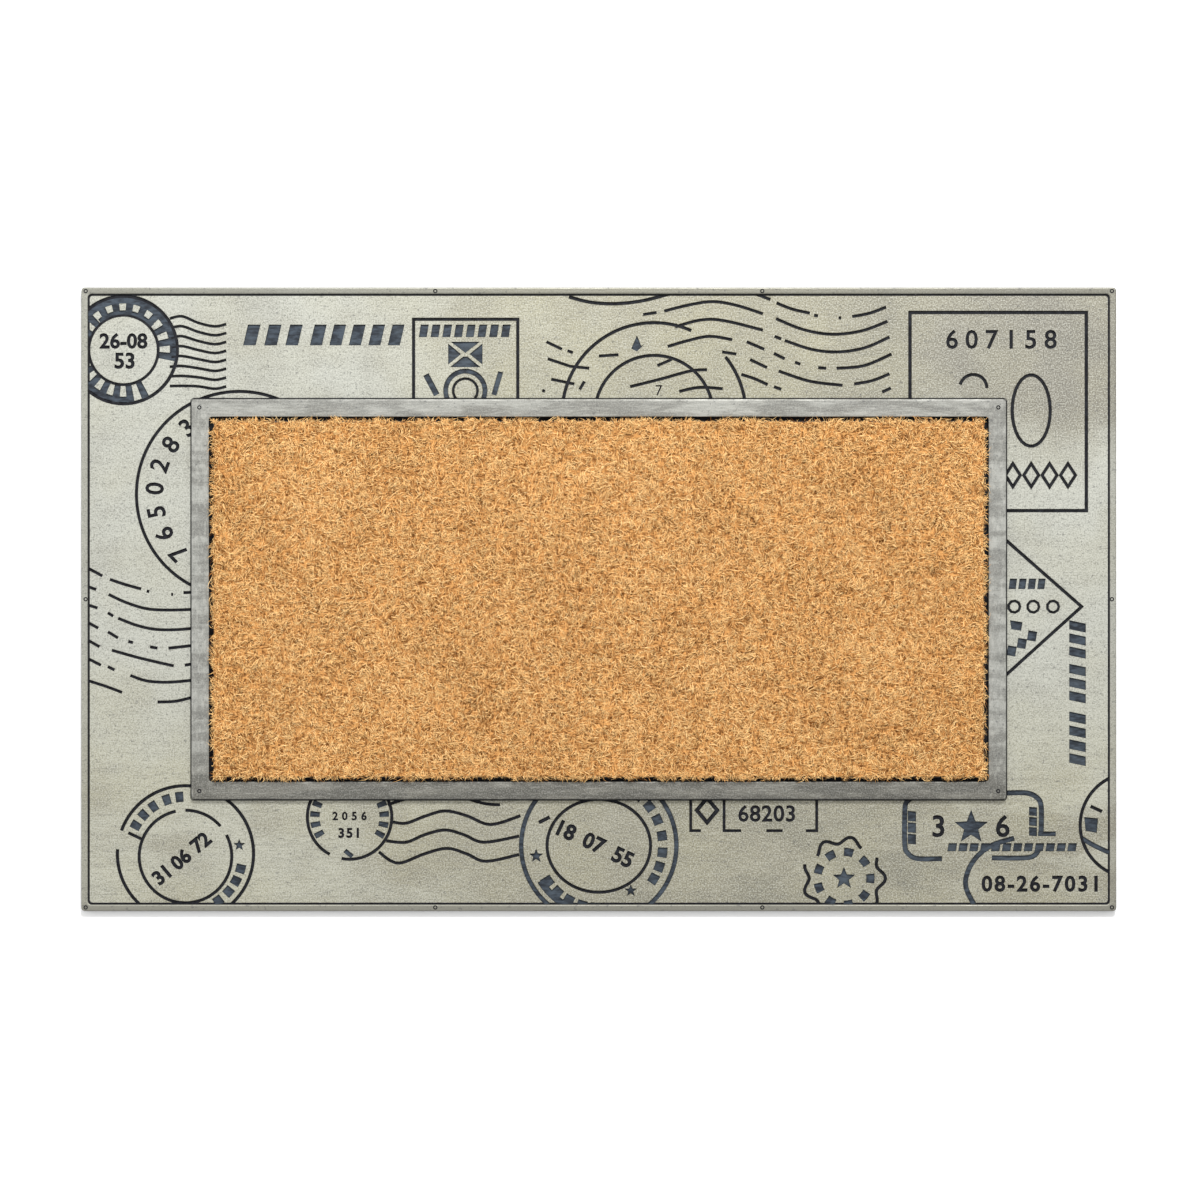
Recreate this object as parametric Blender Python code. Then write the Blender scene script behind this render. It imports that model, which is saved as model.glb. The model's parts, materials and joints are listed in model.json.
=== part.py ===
"""Door mat: a moulded rubber tray with a coir insert lying in its pocket.

Metres, +Z up. The origin is the centre of the footprint, on the floor. +X runs along the
long side, and +Y points to the edge nearest the door.
"""
import bmesh
import bpy

# Rubber tray, outside
MAT_LENGTH = 0.760
MAT_WIDTH = 0.458
MAT_CORNER = 0.0026

# Rubber tray, heights above the floor
LUG_HEIGHT = 0.0012
POCKET_FLOOR = 0.0028
BORDER_TOP = 0.0050
RIM_TOP = 0.0060
FRAME_TOP = 0.0090

# Rim and the narrow moat just inside it
RIM_WIDTH = 0.0050
MOAT_WIDTH = 0.0013
MOAT_DEPTH = 0.0006

# Raised frame round the pocket
FRAME_LENGTH = 0.600
FRAME_WIDTH = 0.296
FRAME_CORNER = 0.0020
POCKET_LENGTH = 0.5715
POCKET_WIDTH = 0.2665
POCKET_CORNER = 0.0015
MOULD_EDGE = 0.0006

# Anti-slip lugs under the tray
LUG_RADIUS = 0.0045
LUG_MARGIN = 0.020
LUG_COLUMNS = 15
LUG_ROWS = 9
LUG_SIDES = 10

# Nubs that the mould's vents leave
RIM_NUB_RADIUS = 0.0014
FRAME_NUB_RADIUS = 0.0017
NUB_HEIGHT = 0.0003
NUB_SIDES = 12
RIM_NUB_SPAN = 0.120

# Coir insert
INSERT_LENGTH = 0.566
INSERT_WIDTH = 0.262
BACKING_CORNER = 0.0010
BACKING_THICKNESS = 0.0020
PILE_TOP = 0.0140
PILE_CORNER = 0.0030
PILE_EDGE = 0.0030
CLEARANCE = 0.0003

CORNER_STEPS = 4
EDGE_STEPS = 2
SINK = 0.0008  # how far one solid runs into another before the two are joined


def clear_objects():
    for old in list(bpy.data.objects):
        bpy.data.objects.remove(old, do_unlink=True)


def new_collection(name):
    group = bpy.data.collections.new(name)
    bpy.context.scene.collection.children.link(group)
    return group


def finish_material(name, colour, roughness):
    material = bpy.data.materials.new(name)
    material.use_nodes = True
    shader = material.node_tree.nodes["Principled BSDF"]
    shader.inputs["Base Color"].default_value = (*colour, 1.0)
    shader.inputs["Roughness"].default_value = roughness
    material.diffuse_color = (*colour, 1.0)
    return material


def to_object(shape, name, group):
    mesh = bpy.data.meshes.new(name)
    shape.to_mesh(mesh)
    shape.free()
    made = bpy.data.objects.new(name, mesh)
    group.objects.link(made)
    return made


def slab(name, group, length, width, bottom, top, corner, rounding=0.0):
    """A flat block with rounded corners and, where rounding is given, a rounded top edge."""
    shape = bmesh.new()
    bmesh.ops.create_cube(shape, size=1.0)
    bmesh.ops.scale(shape, vec=(length, width, top - bottom), verts=shape.verts)
    bmesh.ops.translate(shape, vec=(0.0, 0.0, (top + bottom) / 2), verts=shape.verts)
    upright = [e for e in shape.edges if abs(e.verts[0].co.z - e.verts[1].co.z) > SINK]
    round_off(shape, upright, corner, CORNER_STEPS)
    if rounding:
        highest = max(v.co.z for v in shape.verts)
        upper = [e for e in shape.edges if min(v.co.z for v in e.verts) > highest - SINK / 100]
        round_off(shape, upper, rounding, EDGE_STEPS)
    return to_object(shape, name, group)


def round_off(shape, edges, radius, steps):
    bmesh.ops.bevel(
        shape, geom=edges, offset=radius, offset_type="OFFSET", segments=steps,
        profile=0.5, affect="EDGES", material=-1, clamp_overlap=True,
    )


def discs(name, group, places, radius, bottom, top, sides):
    """Short upright cylinders, one at each (x, y) of places."""
    shape = bmesh.new()
    for x, y in places:
        made = bmesh.ops.create_cone(
            shape, cap_ends=True, segments=sides, radius1=radius, radius2=radius, depth=top - bottom,
        )
        bmesh.ops.translate(shape, vec=(x, y, (top + bottom) / 2), verts=made["verts"])
    return to_object(shape, name, group)


def even_steps(span, count):
    return [span * (step / (count - 1) - 0.5) for step in range(count)]


def join_or_cut(piece, tool, operation):
    tool.hide_render = True
    tool.display_type = "WIRE"
    step = piece.modifiers.new(tool.name, "BOOLEAN")
    step.operation = operation
    step.solver = "EXACT"
    step.object = tool


def rim_nub_places():
    half_length = (MAT_LENGTH - RIM_WIDTH) / 2
    half_width = (MAT_WIDTH - RIM_WIDTH) / 2
    places = [(-half_length, 0.0), (half_length, 0.0)]
    for y in (-half_width, half_width):
        places += [(x, y) for x in (-half_length, -RIM_NUB_SPAN, RIM_NUB_SPAN, half_length)]
    return places


def frame_nub_places():
    x = (FRAME_LENGTH + POCKET_LENGTH) / 4
    y = (FRAME_WIDTH + POCKET_WIDTH) / 4
    return [(-x, -y), (x, -y), (-x, y), (x, y)]


def lug_places():
    columns = even_steps(MAT_LENGTH - 2 * LUG_MARGIN, LUG_COLUMNS)
    rows = even_steps(MAT_WIDTH - 2 * LUG_MARGIN, LUG_ROWS)
    return [(x, y) for x in columns for y in rows]


def make_tray(pieces, tools):
    """The moulding: a sheet with a rim, a moat, a border, a raised frame and its pocket."""
    tray = slab(
        "rubber_tray", pieces, MAT_LENGTH, MAT_WIDTH, LUG_HEIGHT, RIM_TOP, MAT_CORNER, MOULD_EDGE,
    )
    inner_length = MAT_LENGTH - 2 * RIM_WIDTH
    inner_width = MAT_WIDTH - 2 * RIM_WIDTH
    moat = slab(
        "moat_cutter", tools, inner_length, inner_width,
        BORDER_TOP - MOAT_DEPTH, RIM_TOP + SINK, FRAME_CORNER,
    )
    join_or_cut(tray, moat, "DIFFERENCE")
    border = slab(
        "border_block", tools, inner_length - 2 * MOAT_WIDTH, inner_width - 2 * MOAT_WIDTH,
        BORDER_TOP - MOAT_DEPTH - SINK, BORDER_TOP, FRAME_CORNER,
    )
    join_or_cut(tray, border, "UNION")
    frame = slab(
        "frame_block", tools, FRAME_LENGTH, FRAME_WIDTH,
        BORDER_TOP - SINK, FRAME_TOP, FRAME_CORNER, MOULD_EDGE,
    )
    join_or_cut(tray, frame, "UNION")
    pocket = slab(
        "pocket_cutter", tools, POCKET_LENGTH, POCKET_WIDTH,
        POCKET_FLOOR, FRAME_TOP + SINK, POCKET_CORNER,
    )
    join_or_cut(tray, pocket, "DIFFERENCE")
    lugs = discs(
        "lug_blocks", tools, lug_places(), LUG_RADIUS, 0.0, LUG_HEIGHT + SINK, LUG_SIDES,
    )
    join_or_cut(tray, lugs, "UNION")
    rim_nubs = discs(
        "rim_nub_blocks", tools, rim_nub_places(), RIM_NUB_RADIUS,
        RIM_TOP - SINK, RIM_TOP + NUB_HEIGHT, NUB_SIDES,
    )
    join_or_cut(tray, rim_nubs, "UNION")
    frame_nubs = discs(
        "frame_nub_blocks", tools, frame_nub_places(), FRAME_NUB_RADIUS,
        FRAME_TOP - SINK, FRAME_TOP + NUB_HEIGHT, NUB_SIDES,
    )
    join_or_cut(tray, frame_nubs, "UNION")
    tray.data.materials.append(finish_material("painted_rubber", (0.50, 0.49, 0.43), 0.55))


def make_insert(pieces):
    """The insert: coir pile on its own backing sheet, loose in the pocket."""
    backing_bottom = POCKET_FLOOR + CLEARANCE
    backing_top = backing_bottom + BACKING_THICKNESS
    backing = slab(
        "coir_backing", pieces, INSERT_LENGTH, INSERT_WIDTH, backing_bottom, backing_top, BACKING_CORNER,
    )
    backing.data.materials.append(finish_material("backing_pvc", (0.03, 0.03, 0.03), 0.60))
    pile = slab(
        "coir_pile", pieces, INSERT_LENGTH, INSERT_WIDTH,
        backing_top + CLEARANCE, PILE_TOP, PILE_CORNER, PILE_EDGE,
    )
    pile.data.materials.append(finish_material("coir_fibre", (0.65, 0.34, 0.13), 0.90))


clear_objects()
door_mat = new_collection("door_mat")
cutters = new_collection("cutters")
make_tray(door_mat, cutters)
make_insert(door_mat)
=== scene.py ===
"""Looks of a door mat: a moulded rubber tray, engraved and rubbed with silver paint, that holds a
coir insert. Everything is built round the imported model, in its frame and at its size.
"""
import json
import math

import bmesh
import bpy
import numpy as np
from mathutils import Matrix, Vector, noise

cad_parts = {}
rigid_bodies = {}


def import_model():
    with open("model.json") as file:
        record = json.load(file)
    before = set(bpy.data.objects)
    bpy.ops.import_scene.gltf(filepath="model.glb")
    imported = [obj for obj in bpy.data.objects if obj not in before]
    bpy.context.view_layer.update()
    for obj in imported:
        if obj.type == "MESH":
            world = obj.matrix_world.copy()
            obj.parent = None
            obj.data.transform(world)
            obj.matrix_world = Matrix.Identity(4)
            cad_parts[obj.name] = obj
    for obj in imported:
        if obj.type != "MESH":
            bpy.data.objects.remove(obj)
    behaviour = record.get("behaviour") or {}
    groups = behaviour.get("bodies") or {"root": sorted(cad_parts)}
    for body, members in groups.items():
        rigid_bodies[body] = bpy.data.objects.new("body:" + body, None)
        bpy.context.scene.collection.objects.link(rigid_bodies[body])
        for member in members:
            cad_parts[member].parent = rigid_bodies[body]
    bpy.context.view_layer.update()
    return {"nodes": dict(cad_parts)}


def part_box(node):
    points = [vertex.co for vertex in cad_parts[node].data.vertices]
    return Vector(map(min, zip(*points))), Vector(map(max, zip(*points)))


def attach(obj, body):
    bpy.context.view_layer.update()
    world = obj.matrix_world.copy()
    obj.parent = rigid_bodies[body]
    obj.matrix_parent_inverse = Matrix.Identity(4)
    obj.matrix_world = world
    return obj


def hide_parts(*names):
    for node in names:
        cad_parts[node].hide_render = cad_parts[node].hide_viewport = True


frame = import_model()
MM = 0.001


# ---------------------------------------------------------------------------------------------
# Border sheet. The flat part of the moulding: black rubber 4 mm thick that carries the engraving.
# It is moulded in one with the rim, the frame and the lugs, so all of them end up in one mesh.
# ---------------------------------------------------------------------------------------------
tray_low, tray_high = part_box("rubber_tray")
insert_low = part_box("coir_backing")[0]
MAT_LENGTH = tray_high.x - tray_low.x
MAT_WIDTH = tray_high.y - tray_low.y
SHEET_BOTTOM = tray_low.z + 1.2 * MM
BORDER_TOP = tray_low.z + 5.0 * MM
RIM_TOP = tray_low.z + 6.0 * MM
FRAME_TOP = tray_low.z + 9.0 * MM
POCKET_FLOOR = insert_low.z - 0.3 * MM
POCKET_LENGTH = 571.5 * MM
POCKET_WIDTH = 266.5 * MM
RIM_WIDTH = 5.0 * MM
SHEET_CORNER = 2.0 * MM
OVERRUN = 1.0 * MM
PAINT_SLOT, BARE_SLOT, SHEENED_SLATE_SLOT = 0, 1, 2
LIGHT_SILVER = (0.435, 0.440, 0.388, 1)
# dull and blackened silver are thin paint, and also painted shade towards -Y and in the frame's painted
# shadow
DULL_AND_SHADED_SILVER = (0.196, 0.182, 0.145, 1)
BLACKENED_AND_SHADED_SILVER = (0.118, 0.112, 0.094, 1)
BRASSY_SILVER = (0.370, 0.345, 0.215, 1)
RIM_SILVER = (0.190, 0.185, 0.155, 1)
DARK_STREAK, LIGHT_STREAK = (0.125, 0.120, 0.098, 1), (0.66, 0.655, 0.565, 1)
DARK_SPECK, LIGHT_SPECK = (0.120, 0.118, 0.100, 1), (0.60, 0.60, 0.53, 1)
# colours of the frame crest's -Y side: worn paint and painted shade
WORN_SHADED_DARK, WORN_SHADED_LIGHT = (0.046, 0.042, 0.034, 1), (0.125, 0.118, 0.100, 1)
PEWTER, PEWTER_SMUDGE = (0.345, 0.346, 0.318, 1), (0.070, 0.067, 0.060, 1)
PEWTER_STREAK, PEWTER_GLINT = (0.10, 0.10, 0.092, 1), (0.52, 0.52, 0.475, 1)
PAINT_DIMMING = (0.785, 0.785, 0.785, 1)
RUBBER_UNDER_PAINT = (0.018, 0.019, 0.024, 1)


class Nodes:
    """Shorthand for wiring a material: each call adds a node, sets its inputs and returns its output."""

    def __init__(self, name):
        self.material = bpy.data.materials.new(name)
        self.material.use_nodes = True
        self.tree = self.material.node_tree
        self.shader = self.tree.nodes["Principled BSDF"]
        place = self.tree.nodes.new("ShaderNodeTexCoord")
        self.place = place.outputs["Object"]

    def put(self, target, value):
        if isinstance(value, bpy.types.NodeSocket):
            self.tree.links.new(value, target)
        else:
            target.default_value = value

    def add(self, kind, output, **inputs):
        """_name is a setting of the node, i3 its input number 3, and any other name a named input."""
        node = self.tree.nodes.new(kind)
        settings = {k: v for k, v in inputs.items() if k.startswith("_")}
        for key, value in settings.items():
            setattr(node, key[1:], value)
        for key, value in inputs.items():
            if key not in settings:
                self.put(node.inputs[int(key[1:])] if key[1:].isdigit() else node.inputs[key], value)
        return node.outputs[output]

    def grain(self, scale, detail=2.0, roughness=0.5, stretch=(1, 1, 1), shift=(0, 0, 0)):
        spot = self.add("ShaderNodeMapping", 0, Vector=self.place, Scale=stretch, Location=shift)
        return self.add("ShaderNodeTexNoise", 0, Vector=spot, Scale=scale, Detail=detail,
                        Roughness=roughness)

    def ramp(self, value, low, high, to_low=0.0, to_high=1.0):
        return self.add("ShaderNodeMapRange", 0, _interpolation_type="SMOOTHSTEP", Value=value,
                        i1=low, i2=high, i3=to_low, i4=to_high)

    def maths(self, kind, a, b):
        return self.add("ShaderNodeMath", 0, _operation=kind, i0=a, i1=b)

    def blend(self, share, a, b, kind="MIX"):
        node = self.tree.nodes.new("ShaderNodeMix")
        node.data_type = "RGBA"
        node.blend_type = kind
        self.put(node.inputs[0], share)
        self.put(node.inputs[6], a)
        self.put(node.inputs[7], b)
        return node.outputs[2]

    def finish(self, **sockets):
        for key, value in sockets.items():
            self.put(self.shader.inputs[key.replace("_", " ")], value)
        return self.material

    def bump(self, height, strength, distance):
        return self.add("ShaderNodeBump", 0, Strength=strength, Distance=distance, Height=height)


def silver_paint():
    """Black rubber with antique silver paint wiped over it by hand, along the mat's length."""
    m = Nodes("silver_rubbed_rubber")

    # marks of the wiping: long streaks, short strokes, a cross-hatched weave, specks and pits
    streaks = m.grain(1.0, 3.0, 0.66, stretch=(120, 950, 60))
    strokes = m.grain(1.0, 2.0, 0.5, stretch=(18, 130, 10), shift=(3, 1, 0))
    side_streaks = m.grain(1.0, 3.0, 0.62, stretch=(420, 170, 60))
    weave = m.grain(1.0, 2.0, 0.55, stretch=(560, 820, 300), shift=(1, 4, 2))
    clouds = m.grain(17, 3.0, 0.6)
    speckle = m.grain(1000, 2.0, 0.6)
    pits = m.grain(430, 1.0, 0.5)

    # which part a point is on: the frame's crest, the crest's short sides, or a face turned up
    x = m.add("ShaderNodeSeparateXYZ", "X", Vector=m.place)
    y = m.add("ShaderNodeSeparateXYZ", "Y", Vector=m.place)
    z = m.add("ShaderNodeSeparateXYZ", "Z", Vector=m.place)
    facing = m.add("ShaderNodeSeparateXYZ", "Z", Vector=m.add("ShaderNodeNewGeometry", "True Normal"))
    upward = m.ramp(facing, 0.30, 0.72)
    from_middle_x = m.maths("ABSOLUTE", x, 0.0)
    from_middle_y = m.maths("ABSOLUTE", y, 0.0)
    on_frame = m.ramp(z, FRAME_TOP - 1.6 * MM, FRAME_TOP - 0.2 * MM)
    past_pocket = m.ramp(from_middle_x, POCKET_LENGTH / 2 - 0.25 * MM, POCKET_LENGTH / 2 + 0.75 * MM)
    on_side = m.maths("MULTIPLY", on_frame, past_pocket)
    brush = m.maths("ADD", m.maths("MULTIPLY", streaks, m.maths("SUBTRACT", 1.0, on_side)),
                    m.maths("MULTIPLY", side_streaks, on_side))

    # how dark the paint is: darker at the +Y edge and at the +X +Y corner, darker towards -Y (partly
    # thinner paint, partly painted shade), and darkest in a painted shadow of the frame on the border
    # below it
    # painted shade: darker towards the -Y edge, standing for the metallic paint's dim reflection there,
    # on top of thinner paint
    low_end = m.maths("MULTIPLY", m.ramp(x, 0.22, 0.33, 1.0, 0.52), m.ramp(x, -0.28, 0.08, 0.22, 1.14))
    thin_paint_and_shade = m.maths("MULTIPLY", m.ramp(y, -0.105, -0.165), low_end)
    top_end = m.maths("MULTIPLY", m.ramp(y, 0.08, 0.165), m.ramp(x, -0.22, 0.03, 0.06, 0.60))
    corner = m.maths("MULTIPLY", m.ramp(y, 0.07, 0.21), m.ramp(x, 0.10, 0.33, 0.0, 0.50))
    thin_paint_and_shade = m.maths("ADD", m.maths("ADD", thin_paint_and_shade, top_end), corner)
    # painted shadow of the frame, cast on the border just below its -Y side
    painted_frame_shadow = m.maths("MULTIPLY", m.ramp(x, -0.02, 0.10), m.ramp(x, 0.20, 0.27, 0.45, 0.0))
    thin_paint_and_shade = m.maths("ADD", thin_paint_and_shade, m.maths("MULTIPLY", m.ramp(y, -0.168, -0.152), painted_frame_shadow))
    thin_paint_and_shade = m.maths("ADD", thin_paint_and_shade, m.ramp(clouds, 0.35, 0.66, -0.12, 0.30))
    smoke = m.grain(1.0, 3.0, 0.6, stretch=(14, 38, 8), shift=(6, 3, 1))
    smoky = m.maths("MULTIPLY", m.ramp(y, -0.11, -0.16), m.ramp(x, -0.10, 0.12, 0.35, 1.0))
    thin_paint_and_shade = m.maths("ADD", thin_paint_and_shade, m.maths("MULTIPLY", m.ramp(smoke, 0.38, 0.64, -0.36, 0.46), smoky))
    silver = m.blend(m.ramp(thin_paint_and_shade, 0.0, 1.0), LIGHT_SILVER, DULL_AND_SHADED_SILVER)
    silver = m.blend(m.ramp(thin_paint_and_shade, 0.95, 1.90), silver, BLACKENED_AND_SHADED_SILVER)

    # where it turns brassy: in patches, along the -Y edge and in the middle of the +Y edge
    warm = m.ramp(m.grain(20, 2.0, 0.5, shift=(5, 2, 0)), 0.38, 0.66, 0.0, 0.5)
    from_warm_spot = m.maths("ABSOLUTE", m.maths("SUBTRACT", x, 0.04), 0.0)
    warm_top = m.maths("MULTIPLY", m.ramp(from_warm_spot, 0.10, 0.24, 1.0, 0.0), m.ramp(y, 0.07, 0.15))
    warm = m.maths("ADD", warm, m.maths("MAXIMUM", warm_top, m.ramp(y, -0.03, -0.13, 0.0, 0.8)))
    silver = m.blend(m.maths("MULTIPLY", warm, 0.42), silver, BRASSY_SILVER)

    # the marks themselves, brushed at the long edges and woven in between
    brushed = m.maths("MULTIPLY", m.ramp(y, 0.05, 0.16), m.ramp(x, -0.25, 0.0))
    brushed = m.maths("MAXIMUM", brushed, m.ramp(y, -0.08, -0.17))
    woven = m.blend(m.ramp(brushed, 0.0, 1.0, 0.30, 0.85), weave, brush)
    tone = m.maths("ADD", m.maths("MULTIPLY", woven, 0.80), m.maths("MULTIPLY", strokes, 0.20))
    silver = m.blend(m.ramp(tone, 0.33, 0.56, 0.50, 0.0), silver, DARK_STREAK)
    silver = m.blend(m.ramp(tone, 0.52, 0.70, 0.0, 0.32), silver, LIGHT_STREAK)
    silver = m.blend(m.ramp(speckle, 0.42, 0.70, 0.0, 0.60), silver, LIGHT_SPECK)
    silver = m.blend(m.ramp(speckle, 0.30, 0.48, 0.46, 0.0), silver, DARK_SPECK)

    # the rim is rubbed harder, and the more so along its long sides; it is darker still towards -Y,
    # which is painted shade, as on the border there
    inner_x, inner_y = MAT_LENGTH / 2 - RIM_WIDTH, MAT_WIDTH / 2 - RIM_WIDTH
    at_end = m.ramp(from_middle_x, inner_x - 0.7 * MM, inner_x + 0.2 * MM)
    at_side = m.ramp(from_middle_y, inner_y - 0.7 * MM, inner_y + 0.2 * MM)
    on_rim = m.maths("MAXIMUM", m.maths("MULTIPLY", at_end, 0.42), m.maths("MULTIPLY", at_side, 0.68))
    # painted shade: the rim darker still along its -Y side
    on_rim = m.maths("MULTIPLY", on_rim, m.ramp(y, -0.18, -0.21, 1.0, 1.25))
    silver = m.blend(on_rim, silver, RIM_SILVER)

    # the frame's crest is a cooler pewter, nearly black along its -Y side: partly worn paint, partly
    # painted shade for the metallic paint's dim reflection there
    smudge = m.grain(1.0, 3.0, 0.6, stretch=(24, 110, 40), shift=(2, 7, 0))
    worn_and_shaded = m.blend(m.ramp(smudge, 0.42, 0.60), WORN_SHADED_DARK, WORN_SHADED_LIGHT)
    pewter = m.blend(m.ramp(y, -0.150, -0.100), worn_and_shaded, PEWTER)
    pewter = m.blend(m.ramp(smudge, 0.40, 0.60, 0.55, 0.0), pewter, PEWTER_SMUDGE)
    pewter = m.blend(m.ramp(brush, 0.36, 0.60, 0.32, 0.0), pewter, PEWTER_STREAK)
    pewter = m.blend(m.ramp(brush, 0.50, 0.72, 0.0, 0.30), pewter, PEWTER_GLINT)
    pewter = m.blend(m.ramp(speckle, 0.45, 0.70, 0.0, 0.30), pewter, PEWTER_GLINT)
    silver = m.blend(m.maths("MULTIPLY", on_frame, 0.92), silver, pewter)

    # paint on faces that look up, less of it in the pits, and rubber everywhere else
    cover = m.maths("MULTIPLY", upward, m.ramp(pits, 0.62, 0.76, 1.0, 0.55))
    silver = m.blend(1.0, silver, PAINT_DIMMING, "MULTIPLY")
    relief = m.maths("ADD", m.maths("MULTIPLY", brush, 0.6), m.maths("MULTIPLY", pits, 0.4))
    return m.finish(
        Base_Color=m.blend(cover, RUBBER_UNDER_PAINT, silver), Metallic=m.maths("MULTIPLY", cover, 0.42),
        Roughness=m.ramp(tone, 0.3, 0.7, 0.50, 0.37), Normal=m.bump(relief, 0.6, 0.18 * MM),
    )


def black_rubber():
    """The same rubber in the narrow places that the wiped paint never reaches."""
    m = Nodes("bare_black_rubber")
    bloom = m.grain(300, 3.0, 0.6)
    colour = m.blend(m.ramp(bloom, 0.35, 0.7), (0.0036, 0.0036, 0.005, 1), (0.011, 0.012, 0.016, 1))
    return m.finish(Base_Color=colour, Roughness=m.ramp(bloom, 0.3, 0.7, 0.68, 0.52),
                    Specular_IOR_Level=0.14, Normal=m.bump(bloom, 0.6, 0.12 * MM))


def sheened_slate_rubber():
    """Rubber on the floors of the wide marks: dark, with blue-grey streaks and blotches that are partly
    the rubber's own tint and partly painted sheen.
    """
    m = Nodes("slate_rubber_painted_sheen")
    smears = m.grain(1.0, 3.0, 0.6, stretch=(150, 420, 100))
    drift = m.grain(45, 2.0, 0.5)
    # blue-grey streaks: partly the rubber's tint, partly painted sheen
    colour = m.blend(m.ramp(smears, 0.34, 0.70), (0.006, 0.009, 0.014, 1), (0.036, 0.048, 0.063, 1))
    # lighter blue-grey blotches, partly painted sheen
    colour = m.blend(m.ramp(drift, 0.45, 0.75, 0.0, 0.35), colour, (0.064, 0.080, 0.092, 1))
    return m.finish(Base_Color=colour, Roughness=m.ramp(smears, 0.3, 0.7, 0.60, 0.44),
                    Specular_IOR_Level=0.25, Normal=m.bump(smears, 0.5, 0.12 * MM))


PAINTED = silver_paint()
BARE = black_rubber()
SHEENED_SLATE = sheened_slate_rubber()


def as_object(name, shape):
    """Turns a finished shape into an object that has the tray's three materials."""
    bmesh.ops.recalc_face_normals(shape, faces=shape.faces)
    mesh = bpy.data.meshes.new(name)
    shape.to_mesh(mesh)
    shape.free()
    for material in (PAINTED, BARE, SHEENED_SLATE):
        mesh.materials.append(material)
    made = bpy.data.objects.new(name, mesh)
    bpy.context.scene.collection.objects.link(made)
    return made


def block(length, width, bottom, top):
    """A plain box, centred on the mat."""
    shape = bmesh.new()
    bmesh.ops.create_cube(shape, size=1.0)
    bmesh.ops.scale(shape, vec=(length, width, top - bottom), verts=shape.verts)
    bmesh.ops.translate(shape, vec=(0.0, 0.0, (top + bottom) / 2), verts=shape.verts)
    return shape


def round_off(shape, edges, radius, steps):
    bmesh.ops.bevel(
        shape, geom=edges, offset=radius, offset_type="OFFSET", segments=steps, profile=0.5,
        affect="EDGES", material=-1, clamp_overlap=True,
    )


def round_upright_edges(shape, radius, steps):
    upright = [e for e in shape.edges if abs(e.verts[0].co.z - e.verts[1].co.z) > 0.1 * MM]
    round_off(shape, upright, radius, steps)


def slab(name, length, width, bottom, top, corner):
    """A flat block of rubber with rounded corners."""
    shape = block(length, width, bottom, top)
    round_upright_edges(shape, corner, 6)
    return as_object(name, shape)


tray = slab(
    "moulded_tray", MAT_LENGTH - 2 * RIM_WIDTH + 2 * OVERRUN, MAT_WIDTH - 2 * RIM_WIDTH + 2 * OVERRUN,
    SHEET_BOTTOM, BORDER_TOP, SHEET_CORNER,
)


# ---------------------------------------------------------------------------------------------
# Engraving. Postal ornament sunk into the border by ribs in the mould: postmark rings, wavy
# cancelling lines, stamp frames, airmail bars, stars and numbers. Grooves are 1.3 mm deep with
# steep sides. Places, widths and heights are in millimetres, from the centre of the mat.
# ---------------------------------------------------------------------------------------------
LINE = 2.3
WIDE_LINE = 3.0
DEGREES_MM_PER_STEP = 170
STAR_WAIST = 0.42
GROOVE_DEPTH = 1.3 * MM
SLOPE = 0.15 * MM
SOFT_EDGE = 0.28 * MM
FIGURE_REACH = 0.75 * GROOVE_DEPTH
TEXT_SIZE_PER_HEIGHT = 1.38
engraving = bpy.data.collections.new("engraving")
bpy.context.scene.collection.children.link(engraving)


def keep_as_cutter(name, shape):
    cutter = as_object(name, shape)
    bpy.context.scene.collection.objects.unlink(cutter)
    engraving.objects.link(cutter)


def sink(shape, floor):
    """Makes a cutter of a flat floor: a steep bare wall, then a painted edge that opens out."""
    outward = shape.verts.layers.float_vector["outward"]
    for face in shape.faces:
        face.material_index = floor
    bottom = list(shape.faces)
    wall_step = (GROOVE_DEPTH - SOFT_EDGE, SLOPE, BARE_SLOT)
    brink_step = (3 * SOFT_EDGE, 3 * SOFT_EDGE, PAINT_SLOT)
    for rise, widening, finish in (wall_step, brink_step):
        grown = bmesh.ops.extrude_face_region(shape, geom=bottom)["geom"]
        if finish == PAINT_SLOT:
            bmesh.ops.delete(shape, geom=bottom, context="FACES")
        bottom = [g for g in grown if isinstance(g, bmesh.types.BMFace)]
        walls = {f for g in bottom for e in g.edges for f in e.link_faces} - set(bottom)
        for wall in walls:
            wall.material_index = finish
        for v in grown:
            if isinstance(v, bmesh.types.BMVert):
                v.co += v[outward] * widening
                v.co.z += rise
    keep_as_cutter("groove", shape)


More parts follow.
